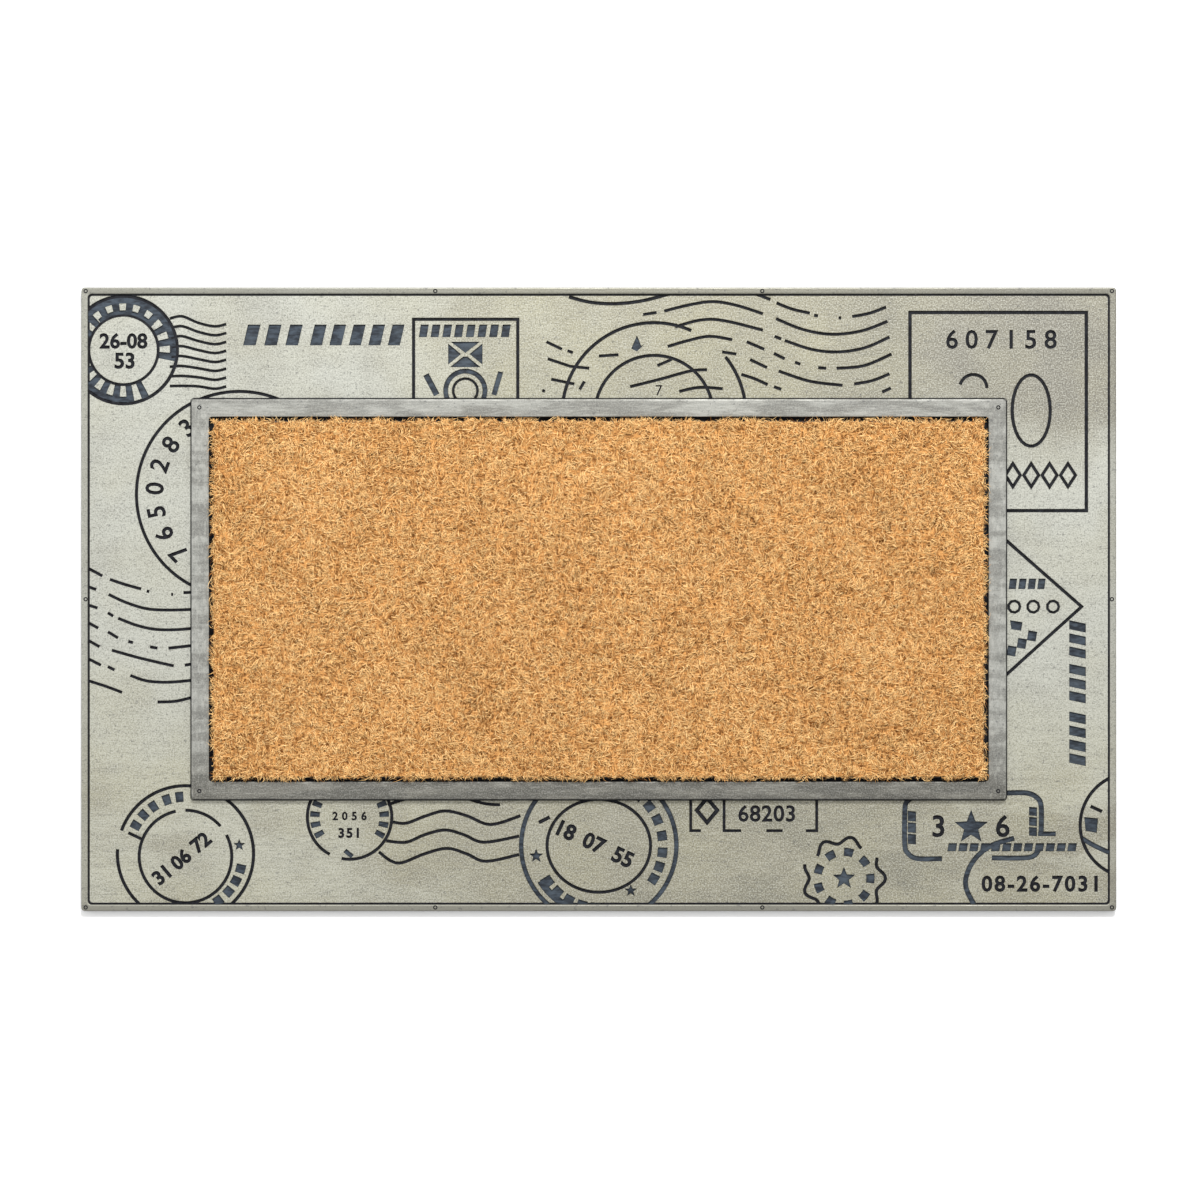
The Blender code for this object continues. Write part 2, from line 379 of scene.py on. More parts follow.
def carve(path, width=LINE, closed=False):
    """One engraved line of an even width along a path of (x, y) points."""
    points = [Vector((x, y, 0.0)) * MM for x, y in path]
    if closed:
        points.append(points[0].copy())
    half = width * MM / 2 - SLOPE
    shape = bmesh.new()
    outward = shape.verts.layers.float_vector.new("outward")

    # a cross-bar at each point, mitred to the bend there and grown out of the one before
    rail = []
    last = len(points) - 1
    for i, point in enumerate(points):
        before = points[last - 1] if closed and i == 0 else points[max(i - 1, 0)]
        after = points[1] if closed and i == last else points[min(i + 1, last)]
        way_in = (point - before).normalized() if (point - before).length > 0 else None
        way_out = (after - point).normalized() if (after - point).length > 0 else None
        way_in = way_in or way_out
        way_out = way_out or way_in
        heading = (way_in + way_out).normalized()
        mitre = min(1.0 / max(heading.dot(way_in), 0.3), 2.5)
        side = Vector((-heading.y, heading.x, 0.0)) * mitre
        if not rail:
            rail = [shape.verts.new(point), shape.verts.new(point)]
            edge = shape.edges.new(rail)
        else:
            grown = bmesh.ops.extrude_edge_only(shape, edges=[edge])["geom"]
            edge = next(g for g in grown if isinstance(g, bmesh.types.BMEdge))
            old = rail
            rail = [next(e.other_vert(v) for e in v.link_edges if e.other_vert(v) in edge.verts)
                    for v in old]
        for vert, sign in zip(rail, (-1.0, 1.0)):
            vert.co = point + side * sign * half
            vert.co.z = BORDER_TOP - GROOVE_DEPTH
            vert[outward] = side * sign
    if closed:
        bmesh.ops.remove_doubles(shape, verts=shape.verts, dist=0.001 * MM)
    sink(shape, SHEENED_SLATE_SLOT if width >= WIDE_LINE else BARE_SLOT)


def punch(outline):
    """A sunk shape with a flat floor, such as a bar or a star."""
    points = [Vector((x, y, 0.0)) * MM for x, y in outline]
    middle = sum(points, Vector()) / len(points)
    shape = bmesh.new()
    outward = shape.verts.layers.float_vector.new("outward")
    floor = []
    for point in points:
        away = (point - middle).normalized()
        vert = shape.verts.new(point - away * SLOPE)
        vert.co.z = BORDER_TOP - GROOVE_DEPTH
        vert[outward] = away
        floor.append(vert)
    shape.faces.new(floor)
    sink(shape, SHEENED_SLATE_SLOT)


def arc(centre, radius, start, end, tall=1.0):
    """Points round a circle, or an ellipse tall times as high, in degrees: one every 3 mm or so."""
    steps = max(3, round(abs(end - start) * radius / DEGREES_MM_PER_STEP))
    turns = [math.radians(start + (end - start) * i / steps) for i in range(steps + 1)]
    return [(centre[0] + radius * math.cos(t), centre[1] + radius * tall * math.sin(t)) for t in turns]


def ring(centre, radius, width=LINE, tall=1.0):
    carve(arc(centre, radius, 0, 360, tall)[:-1], width, closed=True)


def flowing(points, steps=5):
    """A smooth line through a few points, as Catmull and Rom draw it."""
    ends = [points[0], *points, points[-1]]
    path = []
    for a, b, c, d in zip(ends, ends[1:], ends[2:], ends[3:]):
        for i in range(steps):
            t = i / steps
            path.append(tuple(
                0.5 * (2 * q + (r - p) * t + (2 * p - 5 * q + 4 * r - s) * t * t
                       + (3 * q - p - 3 * r + s) * t ** 3)
                for p, q, r, s in zip(a, b, c, d)
            ))
    return [*path, points[-1]]


def star(centre, radius):
    """A five-pointed star, one point up."""
    spots = [(radius if i % 2 == 0 else radius * STAR_WAIST, math.radians(90 + 36 * i))
             for i in range(10)]
    punch([(centre[0] + r * math.cos(t), centre[1] + r * math.sin(t)) for r, t in spots])


def bars(first, count, pitch, wide, high, lean, upright=False):
    """A row of heavy slanted bars, as on the edge of an airmail envelope."""
    for i in range(count):
        corners = [(0, 0), (wide, 0), (wide + lean, high), (lean, high)]
        if upright:
            corners = [(y, -x) for x, y in corners]
            punch([(first[0] + x, first[1] - pitch * i + y) for x, y in corners])
        else:
            punch([(first[0] + pitch * i + x, first[1] + y) for x, y in corners])


def blocks(centre, radius, angles, span, width):
    """Short heavy strokes round a ring, where a postmark would carry its words."""
    for angle in angles:
        carve(arc(centre, radius, angle - span / 2, angle + span / 2), width)


def number(figures, middle, high, turn=0.0, weight=0.0, spacing=1.0):
    """Plain figures, cut upright or turned by so many degrees."""
    curve = bpy.data.curves.new("figures", "FONT")
    curve.body = figures
    curve.align_x = "CENTER"
    curve.align_y = "CENTER"
    curve.size = high * MM * TEXT_SIZE_PER_HEIGHT
    curve.space_character = spacing
    curve.offset = weight * MM
    curve.resolution_u = 3
    curve.extrude = FIGURE_REACH
    holder = bpy.data.objects.new("figures", curve)
    bpy.context.scene.collection.objects.link(holder)
    mesh = bpy.data.meshes.new_from_object(holder.evaluated_get(bpy.context.evaluated_depsgraph_get()))
    bpy.data.objects.remove(holder)
    bpy.data.curves.remove(curve)
    shape = bmesh.new()
    shape.from_mesh(mesh)
    bpy.data.meshes.remove(mesh)
    bmesh.ops.remove_doubles(shape, verts=shape.verts, dist=0.002 * MM)
    mid_height = BORDER_TOP - GROOVE_DEPTH + FIGURE_REACH
    place = Matrix.Translation((middle[0] * MM, middle[1] * MM, mid_height))
    bmesh.ops.transform(shape, matrix=place @ Matrix.Rotation(math.radians(turn), 4, "Z"),
                        verts=shape.verts)
    for face in shape.faces:
        face.material_index = BARE_SLOT
    keep_as_cutter("figures", shape)


# top left: round date mark, with eight cancelling lines running off it
date_mark = (-349, 183)
ring(date_mark, 39.5, 2.4)
ring(date_mark, 25.5, 2.0)
blocks(date_mark, 32.5, range(-150, -61, 17), 9, 12.5)
blocks(date_mark, 32.5, range(-8, 175, 18), 9.5, 12.5)
carve(arc(date_mark, 36.4, -150, -82), 4)
carve(arc(date_mark, 36.4, -8, 172), 4.4)
carve(arc(date_mark, 27.6, 40, 130), 3)
number("26-08", (-349, 189), 11, weight=0.5)
number("53", (-348, 174.5), 11.5, weight=0.5)
for i in range(8):
    end_y = 202 - 6.55 * i
    swell = 5.7 - 0.75 * i
    start_x = -314 if i in (2, 3, 4) else -315
    carve(flowing([(start_x, end_y + swell * 0.7), (-306, end_y + swell),
                   (-294, end_y + swell * 0.15), (-282, end_y - 1.7), (-273.5, end_y)]), 1.9)

# airmail bars
bars((-261, 186.5), 3, 15.5, 9.0, 15, 3.5)
bars((-212, 186.5), 5, 14.3, 8.6, 15, 3.5)

# large round mark, half under the frame's left end
big_mark = (-264, 77)
ring(big_mark, 75.5, 2.2)
for i, figure in enumerate("3820567"):
    angle = 128 + 16 * i
    spot = arc(big_mark, 61.5, angle, angle + 1)[0]
    number(figure, spot, 13.5, turn=angle - 90, weight=0.4)

# stamp with an envelope
carve([(-136, 135), (-136, 205.5), (-59.5, 205.5), (-59.5, 135)], 2.2)
bars((-132, 192.5), 8, 8.6, 5.6, 9, 1.4)
punch([(-108.5, 189), (-87.5, 189), (-98, 181)])
punch([(-110.5, 172.5), (-110.5, 187.5), (-101.3, 180)])
punch([(-85.5, 187.5), (-85.5, 172.5), (-94.7, 180)])
punch([(-109, 170.5), (-99.5, 178), (-96.5, 178), (-87, 170.5)])
ring((-98, 153), 14.5, 3.4)
ring((-98, 153), 9.0, 1.8)
carve([(-127, 165), (-119, 150)], 4.2)
carve([(-72, 167), (-77, 150)], 3.6)

# centre top: broken ring with cancelling lines across it
carve(flowing([(-22, 222), (-6, 218), (13, 217), (34, 219.5), (58, 226)]), 2.4)
wide_mark = (40.5, 135.5)
carve(arc(wide_mark, 67.5, 66, 180), 2.3)
carve(arc(wide_mark, 67.5, 2, 39), 2.3)
carve(arc(wide_mark, 43.5, 0, 180), 2.2)
punch([(24, 184), (28, 193.5), (31, 186), (34, 188), (28, 182)])
for dash in (
    [(0, 178.5), (14.5, 179.5)], [(-14, 154), (-10.5, 160)], [(-38.5, 189), (-27, 183.5)],
    [(-23, 182.5), (-19, 181)], [(-37.5, 176.5), (-21, 171), (-7, 169.5)],
    [(-35, 161.5), (-18, 158)], [(-41, 152), (-40, 154)], [(32.5, 209), (42.5, 210.5)],
    [(90.5, 181.5), (101, 180)], [(43, 171.5), (53.5, 176)],
):
    carve(dash, 2.0)
number("7", (44, 153), 8)
for line in (
    [(48, 211.5), (66, 216), (84, 218.5), (102, 215.5), (120.5, 209.5)],
    [(56, 200), (75, 205), (92, 204.5), (120.5, 197.5)],
    [(50.5, 185.5), (66, 190), (81.5, 193), (98, 190.5)],
    [(23, 156), (45, 161.5), (67, 167.5), (79.5, 168.5)],
    [(59, 152.5), (74, 155.5), (91, 154.5)],
):
    carve(flowing(line), 2.1)

# right of it: six broken cancelling lines
for line in (
    [(115.5, 224), (126, 220)], [(130.5, 217.5), (142, 213), (155, 210)], [(158, 208.5), (161, 208)],
    [(176, 206.5), (178, 206.5)], [(186, 207.5), (199, 210), (211, 214.5)],
    [(130, 206), (150, 198), (171, 194.5), (193, 197), (212, 204)],
    [(129, 193), (134, 191)], [(136.5, 190), (156, 183.5), (175, 181.5), (195, 184.5), (213.5, 192.5)],
    [(108.5, 189), (121.5, 183.5)], [(128.5, 180.5), (136.5, 176.5)], [(144, 174), (148, 172.5)],
    [(161, 170), (167, 169.5)], [(174.5, 169.5), (195, 171.5), (215, 180)],
    [(111, 176), (123.5, 170)], [(132, 167.5), (155, 160), (179, 157)],
    [(187.5, 158), (201, 160.5), (213.5, 165.5)],
    [(104.5, 165), (114, 162), (124, 157.5)], [(128.5, 156), (134, 154)], [(208, 152), (214.5, 155)],
):
    carve(flowing(line), 2.1)

# large stamp, half under the frame
carve([(228.5, 65), (228.5, 210.5), (358, 210.5), (358, 65)], 2.4, closed=True)
number("607158", (295.5, 190), 14, weight=0.3, spacing=1.5)
carve(arc((275, 155), 10, 0, 165), 2.2)
ring((317.5, 138.5), 14, 2.3, tall=1.87)
for x in (304, 317.5, 331, 344.5):
    carve([(x - 5.5, 91), (x, 99.5), (x + 5.5, 91), (x, 82.5)], 2.2, closed=True)

# right: pointed mark, and airmail bars running down
carve([(297, 45), (354.5, -5.5), (297, -57.5)], 2.3)
bars((301, 7.5), 4, 7, 5, 7.5, 1)
for x in (305, 319, 333.5):
    ring((x, -5.5), 4.3, 1.8)
punch([(302, -15.5), (311, -17), (310, -23), (303, -22)])
for i in range(3):
    x, y = 303 + 7.5 * i, -38 + 5.5 * i
    punch([(x - 3.6, y - 3), (x + 2.6, y - 4), (x + 3.8, y + 3), (x - 2.4, y + 4)])
bars((345.5, -15.5), 3, 9.6, 6.4, 12, 2.5, upright=True)
bars((345.5, -47.5), 3, 9.9, 6.6, 12, 2.5, upright=True)
bars((345.5, -82.5), 4, 10.2, 6.8, 12, 2.5, upright=True)

# left: seven broken cancelling lines
for line in (
    [(-374.5, 22.5), (-364.5, 17)], [(-359, 14.5), (-347, 10.5), (-336, 7.5)], [(-332, 6), (-330, 5.5)],
    [(-314, 3.5), (-312.5, 3.5)], [(-305, 4.8), (-298, 5)],
    [(-374.5, 9), (-369, 7)], [(-360, 3.5), (-347, -2.5), (-332, -7), (-316, -8), (-298, -7.5)],
    [(-374.5, -4.5), (-368, -6.5)], [(-360.5, -10), (-356.5, -12.5)],
    [(-353, -14), (-340, -19), (-327, -22), (-313, -22.5), (-298, -21.5)],
    [(-374.5, -17.5), (-367.5, -21.3)], [(-360.5, -24), (-353, -28.5)], [(-345.5, -31), (-342, -32)],
    [(-329.5, -35), (-324, -36)], [(-316, -36), (-298, -34)],
    [(-374.5, -30.5), (-366.5, -35)], [(-357.5, -37.5), (-336, -43.5), (-312, -49)],
    [(-304, -48.5), (-298, -47.5)],
    [(-374.5, -44), (-365.5, -48.5)], [(-360.5, -49.5), (-355.5, -52)],
    [(-344, -56), (-332, -60), (-316, -61), (-298, -59.5)],
    [(-374.5, -60), (-362, -64), (-350, -68.5)], [(-324, -75.5), (-311, -75), (-298, -72)],
):
    carve(flowing(line), 2.1)

# bottom left: double ring, broken
left_mark = (-303.5, -187)
carve(arc(left_mark, 50, 176, 520), 2.3)
carve(arc((-303.5, -189), 34, 102, 388), 2.2)
carve(arc((-303.5, -189), 34, 41, 90), 2.2)
carve([(-345.5, -171.5), (-335, -176.5)], 2.2)
blocks(left_mark, 42, (150, 137, 124, 109, 96), 8, 7.5)
blocks(left_mark, 42, (-15, -28, -41, -55), 9, 7)
star((-264, -180.5), 4.4)
number("31", (-320, -202.5), 10.5, turn=40, weight=0.6)
number("06", (-306.5, -191.5), 10.5, turn=40, weight=0.6)
number("72", (-292, -179), 10.5, turn=40, weight=0.6)

# bottom, left of the middle: small mark with four cancelling lines
small_mark = (-183, -160)
carve(arc(small_mark, 31, -101, 242), 2.2)
blocks(small_mark, 25.5, (158, 175, 192, 209, 331, 348, 5, 22), 9, 7)
number("2056", (-183, -159.5), 6, weight=0.3, spacing=1.7)
number("351", (-183, -172), 7, weight=0.4, spacing=1.25)
carve([(-186.5, -184.5), (-181, -189)], 3.2)
for line in (
    [(-155, -151), (-140, -146), (-127.5, -146)], [(-97, -146), (-84, -150), (-72.5, -151)],
    [(-152, -163.5), (-141.5, -164.5), (-128, -159.5), (-113, -155.5), (-97, -159), (-79.5, -165.5),
     (-57.5, -159)],
    [(-156, -177.5), (-141.5, -178.5), (-128, -173), (-113, -169.5), (-99, -173), (-84.5, -178.5),
     (-58.5, -174)],
    [(-161.5, -185.5), (-153, -192), (-144.5, -193.5), (-128, -187), (-111.5, -183), (-97, -187),
     (-83, -192.5), (-58.5, -187.5)],
):
    carve(flowing(line), 2.2)

# bottom middle: heavy double ring with a slanted number
heavy_mark = (0, -181)
ring(heavy_mark, 57, 3.2)
ring(heavy_mark, 38, 2.2, tall=0.9)
blocks(heavy_mark, 47, (52, 38, 24, 9, -6, -19, -31), 9, 7)
blocks(heavy_mark, 46, (215, 228, 241, 254, 267), 9.5, 8)
star((-46, -188.5), 5.2)
star((23.5, -214), 4.6)
carve([(-44, -164), (-36, -160)], 2.6)
carve(arc(heavy_mark, 50, 211, 270), 5)
number("18", (-25, -170), 11.5, turn=-25, weight=0.6)
number("07", (-4, -179.5), 11.5, turn=-25, weight=0.6)
number("55", (17.5, -190), 11.5, turn=-25, weight=0.6)

# bottom, right of the middle: numbered label, and a scalloped seal
carve([(67.5, -140), (67.5, -170), (75, -170)], 2.0)
carve([(79.5, -146), (87, -155), (79.5, -164), (72, -155)], 2.8, closed=True)
carve([(92, -140), (92, -170), (104.5, -170)], 2.0)
carve([(123, -170), (135, -170)], 2.0)
carve([(160, -140), (160, -170), (152, -170)], 2.0)
number("68203", (123.5, -158), 12, weight=0.35, spacing=1.05)
seal = (180, -205)
SEAL_RADIUS, SCALLOP, SCALLOPS = 28, 0.09, 9
edge_of_seal = []
for i in range(90):
    t = math.radians(4 * i)
    r = SEAL_RADIUS * (1 + SCALLOP * math.cos(SCALLOPS * t))
    edge_of_seal.append((seal[0] + r * math.cos(t), seal[1] + r * math.sin(t)))
carve(edge_of_seal[-24:] + edge_of_seal[:9], 2.3)
carve(edge_of_seal[15:36], 2.3)
carve(edge_of_seal[40:64], 2.3)
blocks(seal, 19.5, range(0, 360, 40), 20, 6)
star(seal, 8.5)

# bottom right: label with a star, a cut-off ring, and part of another at the rim
carve(flowing([(231, -145), (226, -149), (224.7, -156), (224.7, -180), (227, -186.5), (234, -190.5),
               (252, -190.5)]), 3.6)
carve(flowing([(299.5, -142.3), (314, -142.3), (321.5, -145.5), (324.8, -152), (324.8, -171)]), 3.7)
carve([(322.5, -172.3), (335.5, -172.3)], 3.3)
carve(flowing([(288.5, -190), (312, -190), (320, -188), (324, -182)]), 3.6)
number("3", (249.5, -167.5), 16, weight=0.45)
star((273.4, -167.5), 12.8)
number("6", (296.5, -167.5), 16, weight=0.45)
bars((227, -155.5), 3, 8.4, 7.2, 5.8, 0.5, upright=True)
bars((316, -152.5), 3, 7.4, 6.2, 5.6, 0.5, upright=True)
bars((256, -185), 12, 8, 6, 5.8, 1)
carve(flowing([(276, -225), (270, -213), (270, -203), (276, -191), (288, -181), (305, -175.5)]), 3.6)
number("08-26-7031", (325, -209.5), 11.5, weight=0.5, spacing=1.2)
ring((392, -166), 38.5, 2.3)
punch([(356.5, -160), (366.5, -161), (365.5, -171.5), (357.5, -170)])
carve([(361, -152), (369.5, -156)], 2.4)
carve(flowing([(354.5, -175.5), (364, -181), (377, -187)]), 3.4)


# ---------------------------------------------------------------------------------------------
# Rim, moat, frame, pocket, lugs and vent nubs. The rest of the moulding: a low rim with a narrow
# moat inside it, a raised frame round the pocket, and round lugs that grip the floor.
# ---------------------------------------------------------------------------------------------
MOAT_WIDTH = 1.3 * MM
MOAT_DEPTH = 0.6 * MM
FRAME_LENGTH = 600 * MM
FRAME_WIDTH = 296 * MM
FRAME_DRAFT = 2.3 * MM
CREST_LENGTH = FRAME_LENGTH - 1.3 * FRAME_DRAFT
CREST_WIDTH = FRAME_WIDTH - 1.3 * FRAME_DRAFT
FRAME_CORNER, FRAME_EDGE = 2.4 * MM, 0.55 * MM
FRAME_ROOT = 0.5 * MM
RIM_CORNER, RIM_EDGE = 2.6 * MM, 1.1 * MM
WELL_CORNER = 1.5 * MM
LUG_RADIUS = 4.5 * MM
LUG_CHAMFER = 0.3 * MM
LUG_ROOT = 0.4 * MM
LUG_MARGIN = 20 * MM
LUG_COLUMNS, LUG_ROWS = 15, 9
NUB_RADIUS = 1.7 * MM
NUB_DEPTH = 0.45 * MM
NUB_OVERRUN = 0.4 * MM
NUBS_ALONG_RIM = 120 * MM
HIDDEN_STEP = 0.05 * MM
STEEP = 0.38


def hoop(name, length, width, band, bottom, top, corner, edge=0.0, draft=0.0):
    """A rectangular ring, a band wide: rounded at its corners and top edges, spread at its foot."""
    shape = block(length, width, bottom, top)
    shape.normal_update()
    lids = [f for f in shape.faces if abs(f.normal.z) > 0.9]
    bmesh.ops.inset_individual(shape, faces=lids, thickness=band, use_even_offset=True)
    brink = [e for f in lids for e in f.edges]
    bmesh.ops.delete(shape, geom=lids, context="FACES_ONLY")
    bmesh.ops.bridge_loops(shape, edges=brink)
    for v in shape.verts:
        if v.co.z < (top + bottom) / 2 and abs(v.co.x) > length / 2 - band / 2:
            v.co.x += math.copysign(draft, v.co.x)
            v.co.y += math.copysign(draft, v.co.y)
    round_upright_edges(shape, corner, 5)
    if edge:
        highest = max(v.co.z for v in shape.verts)
        shape.normal_update()
        upper = [e for e in shape.edges if min(v.co.z for v in e.verts) > highest - 0.01 * MM
                 and any(abs(f.normal.z) < 0.5 for f in e.link_faces)]
        round_off(shape, upper, edge, 4)
    shape.normal_update()
    for face in shape.faces:
        face.material_index = BARE_SLOT if abs(face.normal.z) < STEEP else PAINT_SLOT
    return as_object(name, shape)


def turned(name, profile, centre, steps=16):
    """A small round solid or ring: (radius, height) pairs, spun about an upright axis."""
    shape = bmesh.new()
    line = [shape.verts.new((r, 0.0, z)) for r, z in profile]
    edges = [shape.edges.new(pair) for pair in zip(line, line[1:])]
    bmesh.ops.spin(shape, geom=line + edges, cent=(0, 0, 0), axis=(0, 0, 1), angle=math.tau,
                   steps=steps, use_merge=True)
    bmesh.ops.remove_doubles(shape, verts=shape.verts, dist=0.001 * MM)
    bmesh.ops.translate(shape, vec=centre, verts=shape.verts)
    return as_object(name, shape)


def mould(operation, tools):
    """Joins solids to the tray, or takes them out of it, then does away with them."""
    batch = bpy.data.collections.new("batch")
    bpy.context.scene.collection.children.link(batch)
    for tool in tools:
        for home in list(tool.users_collection):
            home.objects.unlink(tool)
        batch.objects.link(tool)
    step = tray.modifiers.new("mould", "BOOLEAN")
    step.operation = operation
    step.solver = "MANIFOLD"
    step.operand_type = "COLLECTION"
    step.collection = batch
    finished = bpy.data.meshes.new_from_object(
        tray.evaluated_get(bpy.context.evaluated_depsgraph_get()))
    tray.modifiers.remove(step)
    tray.data = finished
    for tool in tools:
        bpy.data.objects.remove(tool)
    bpy.data.collections.remove(batch)


def bare(piece):
    """Faces that this tool leaves in the tray have no paint on them."""
    for face in piece.data.polygons:
        face.material_index = BARE_SLOT
    return piece


mould("DIFFERENCE", list(engraving.objects))
moat = hoop("moat", MAT_LENGTH - 2 * RIM_WIDTH + 4 * OVERRUN, MAT_WIDTH - 2 * RIM_WIDTH + 4 * OVERRUN,
            MOAT_WIDTH + 2 * OVERRUN, BORDER_TOP - MOAT_DEPTH, BORDER_TOP + OVERRUN, SHEET_CORNER)
well = slab("well", POCKET_LENGTH + 2 * OVERRUN, POCKET_WIDTH + 2 * OVERRUN,
            POCKET_FLOOR, BORDER_TOP + OVERRUN, WELL_CORNER)
mould("DIFFERENCE", [bare(moat), bare(well)])
rim = hoop("rim", MAT_LENGTH, MAT_WIDTH, RIM_WIDTH, SHEET_BOTTOM - HIDDEN_STEP, RIM_TOP,
           RIM_CORNER, RIM_EDGE)
border_frame = hoop("frame", CREST_LENGTH, CREST_WIDTH, (CREST_LENGTH - POCKET_LENGTH) / 2,
                    POCKET_FLOOR - FRAME_ROOT, FRAME_TOP, FRAME_CORNER, FRAME_EDGE, FRAME_DRAFT)
lug_profile = [(0, 0), (LUG_RADIUS - LUG_CHAMFER, 0), (LUG_RADIUS, LUG_CHAMFER),
               (LUG_RADIUS, SHEET_BOTTOM + LUG_ROOT), (0, SHEET_BOTTOM + LUG_ROOT)]
lugs = [
    turned("lug", lug_profile, (
        (MAT_LENGTH - 2 * LUG_MARGIN) * (i / (LUG_COLUMNS - 1) - 0.5),
        (MAT_WIDTH - 2 * LUG_MARGIN) * (j / (LUG_ROWS - 1) - 0.5), 0.0))
    for i in range(LUG_COLUMNS) for j in range(LUG_ROWS)
]
mould("UNION", [rim, border_frame, *lugs])
nub_ring = [(0.5 * NUB_RADIUS, -NUB_DEPTH), (0.9 * NUB_RADIUS, -NUB_DEPTH),
            (NUB_RADIUS, NUB_OVERRUN), (0.42 * NUB_RADIUS, NUB_OVERRUN), (0.5 * NUB_RADIUS, -NUB_DEPTH)]
frame_x, frame_y = (FRAME_LENGTH + POCKET_LENGTH) / 4, (FRAME_WIDTH + POCKET_WIDTH) / 4
rim_x, rim_y = (MAT_LENGTH - RIM_WIDTH) / 2 - 0.9 * MM, (MAT_WIDTH - RIM_WIDTH) / 2 - 0.3 * MM
nub_spots = [(x, y, FRAME_TOP) for x in (-frame_x, frame_x) for y in (-frame_y, frame_y)]
nub_spots += [(x, y, RIM_TOP) for x in (-rim_x, -NUBS_ALONG_RIM, NUBS_ALONG_RIM, rim_x)
              for y in (-rim_y, rim_y)]
nub_spots += [(x, 0.0, RIM_TOP) for x in (-rim_x, rim_x)]
mould("DIFFERENCE", [bare(turned("nub", nub_ring, spot)) for spot in nub_spots])
tray.data.shade_smooth()
tray.data.set_sharp_from_angle(angle=math.radians(32))
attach(tray, "tray")
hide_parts("rubber_tray")


# ---------------------------------------------------------------------------------------------
# Backing. A sheet of black PVC, 2 mm thick, poured round the roots of the pile and cut to size.
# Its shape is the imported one; only the surface is made here.
# ---------------------------------------------------------------------------------------------
def poured_pvc():
    m = Nodes("poured_black_pvc")
    cast = m.grain(500, 3.0, 0.6)
    dust = m.grain(35, 3.0, 0.6)
    colour = m.blend(m.ramp(dust, 0.4, 0.7), (0.018, 0.017, 0.016, 1), (0.050, 0.044, 0.036, 1))
    return m.finish(Base_Color=colour, Roughness=m.ramp(cast, 0.3, 0.7, 0.75, 0.55),
                    Normal=m.bump(cast, 0.5, 0.2 * MM))


backing = frame["nodes"]["coir_backing"]
for holder in backing.material_slots:
    holder.material = poured_pvc()


# ---------------------------------------------------------------------------------------------
# Pile bed. The close-packed lower part of the coir pile, where single strands can't be told
# apart: a low cushion of brown fibre on the backing, a little short of the strands' tips, its
# brown darkened with painted shade of the gaps between strands.
# ---------------------------------------------------------------------------------------------
pile_low, pile_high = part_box("coir_pile")
BED_INSET = 1.6 * MM
BED_TOP = pile_high.z - 2.1 * MM
BED_CELLS = (142, 66)
BED_SWELL = 0.8 * MM
SWELLS_PER_METRE = 260
bed_shape = bmesh.new()
bmesh.ops.create_grid(bed_shape, x_segments=BED_CELLS[0], y_segments=BED_CELLS[1], size=0.5)
bmesh.ops.scale(bed_shape, vec=(pile_high.x - pile_low.x - 2 * BED_INSET,
                                pile_high.y - pile_low.y - 2 * BED_INSET, 1), verts=bed_shape.verts)
bmesh.ops.translate(bed_shape, vec=(0, 0, pile_low.z), verts=bed_shape.verts)
grown = bmesh.ops.extrude_face_region(bed_shape, geom=list(bed_shape.faces))["geom"]
for v in grown:
    if isinstance(v, bmesh.types.BMVert):
        v.co.z = BED_TOP + BED_SWELL * noise.noise(v.co * SWELLS_PER_METRE)


def packed_coir_in_painted_shade():
    m = Nodes("packed_coir_in_painted_shade")
    strands = m.grain(1.0, 3.0, 0.65, stretch=(900, 240, 300))
    crossing = m.grain(1.0, 3.0, 0.65, stretch=(240, 900, 300))
    mixed = m.maths("MAXIMUM", strands, crossing)
    # dark browns, partly the fibre's own and partly painted shade of the gaps between strands
    colour = m.blend(m.ramp(mixed, 0.42, 0.66), (0.095, 0.033, 0.008, 1), (0.51, 0.255, 0.084, 1))
    return m.finish(Base_Color=colour, Roughness=0.85, Specular_IOR_Level=0.05,
                    Normal=m.bump(mixed, 0.8, 0.5 * MM))


bed = as_object("pile_bed", bed_shape)
bed.data.materials.clear()
bed.data.materials.append(packed_coir_in_painted_shade())
bed.data.shade_smooth()
bed.data.set_sharp_from_angle(angle=math.radians(50))
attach(bed, "coir_insert")
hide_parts("coir_pile")


# ---------------------------------------------------------------------------------------------
# Coir strands. Coconut fibre, cut level and brushed by use: each strand is stiff, tapers to its
# tip and leans its own way, more or less with its neighbours. One strand is modelled, then set
# out over the bed in eight patches, each strand in one of the shades that coir comes in; the
# darkest shade is partly painted shade, for the dark gaps between strands.
# ---------------------------------------------------------------------------------------------
PATCHES_ALONG = 4
PATCHES_ACROSS = 2
STRANDS_EACH = 18500
EDGE_SHARE = 0.10
EDGE_BAND = 2.5 * MM
FIRST_SEED = 41
PATCH_MARGIN = 0.5 * MM
STRAND_RADIUS = 0.195 * MM
RADIUS_RANGE = (0.6, 1.4)
BELLY = 1.7
SWIRL, SWIRL_SIZE, STRAY_HEADING = 5.5, 12 * MM, 0.8
LEAN_SHAPE, LEAN_SCALE, LEAST_LEAN = 3.4, 1.45 * MM, 0.8 * MM
LEAN_AT_EDGE = 0.45
TIP_DROP, TIP_SPREAD, TIP_DRIFT = 0.4 * MM, 0.55 * MM, 0.4 * MM
LIFT_OF_PALE, MIDDLING_PALENESS = 0.9 * MM, 0.6
ROOT_DEPTH = (0.5 * MM, 1.6 * MM)
BOW, SAG, ELBOW_RISE = 0.10, 0.10, 0.14
WALL_CLEARANCE = 0.35 * MM
CLEAR_OF_FRAME = FRAME_TOP + 0.3 * MM
SPILL, SPILL_SHARE = 2.2 * MM, 0.5
